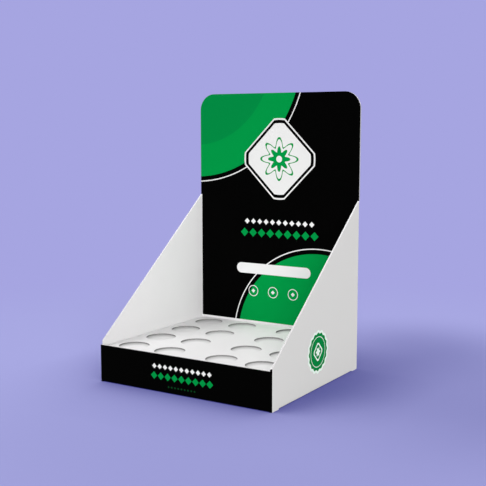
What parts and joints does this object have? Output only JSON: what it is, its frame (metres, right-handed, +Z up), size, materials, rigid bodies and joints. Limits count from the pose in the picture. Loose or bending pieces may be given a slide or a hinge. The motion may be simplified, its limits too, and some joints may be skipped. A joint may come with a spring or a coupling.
{
  "type": "counter display box",
  "caption": "Open counter display box of folded board with sloping sides, a tall header with rounded corners, and a raised shelf with round recesses for small bottles.",
  "frame": {"origin": "middle of the base, on the surface that the box stands on", "axes": "+Z up, -Y towards the customer, who faces the low front wall; the header stands along +Y; +X to the customer's right"},
  "size_m": [0.22, 0.201, 0.323],
  "materials": {
    "printed_board": "satin",
    "plain_board": "matte",
    "coated_board": "satin"
  },
  "bodies": {
    "root": {"display_carton": "printed_board", "shelf_platform": "plain_board", "recess_card": "coated_board"}
  },
  "joints": []
}
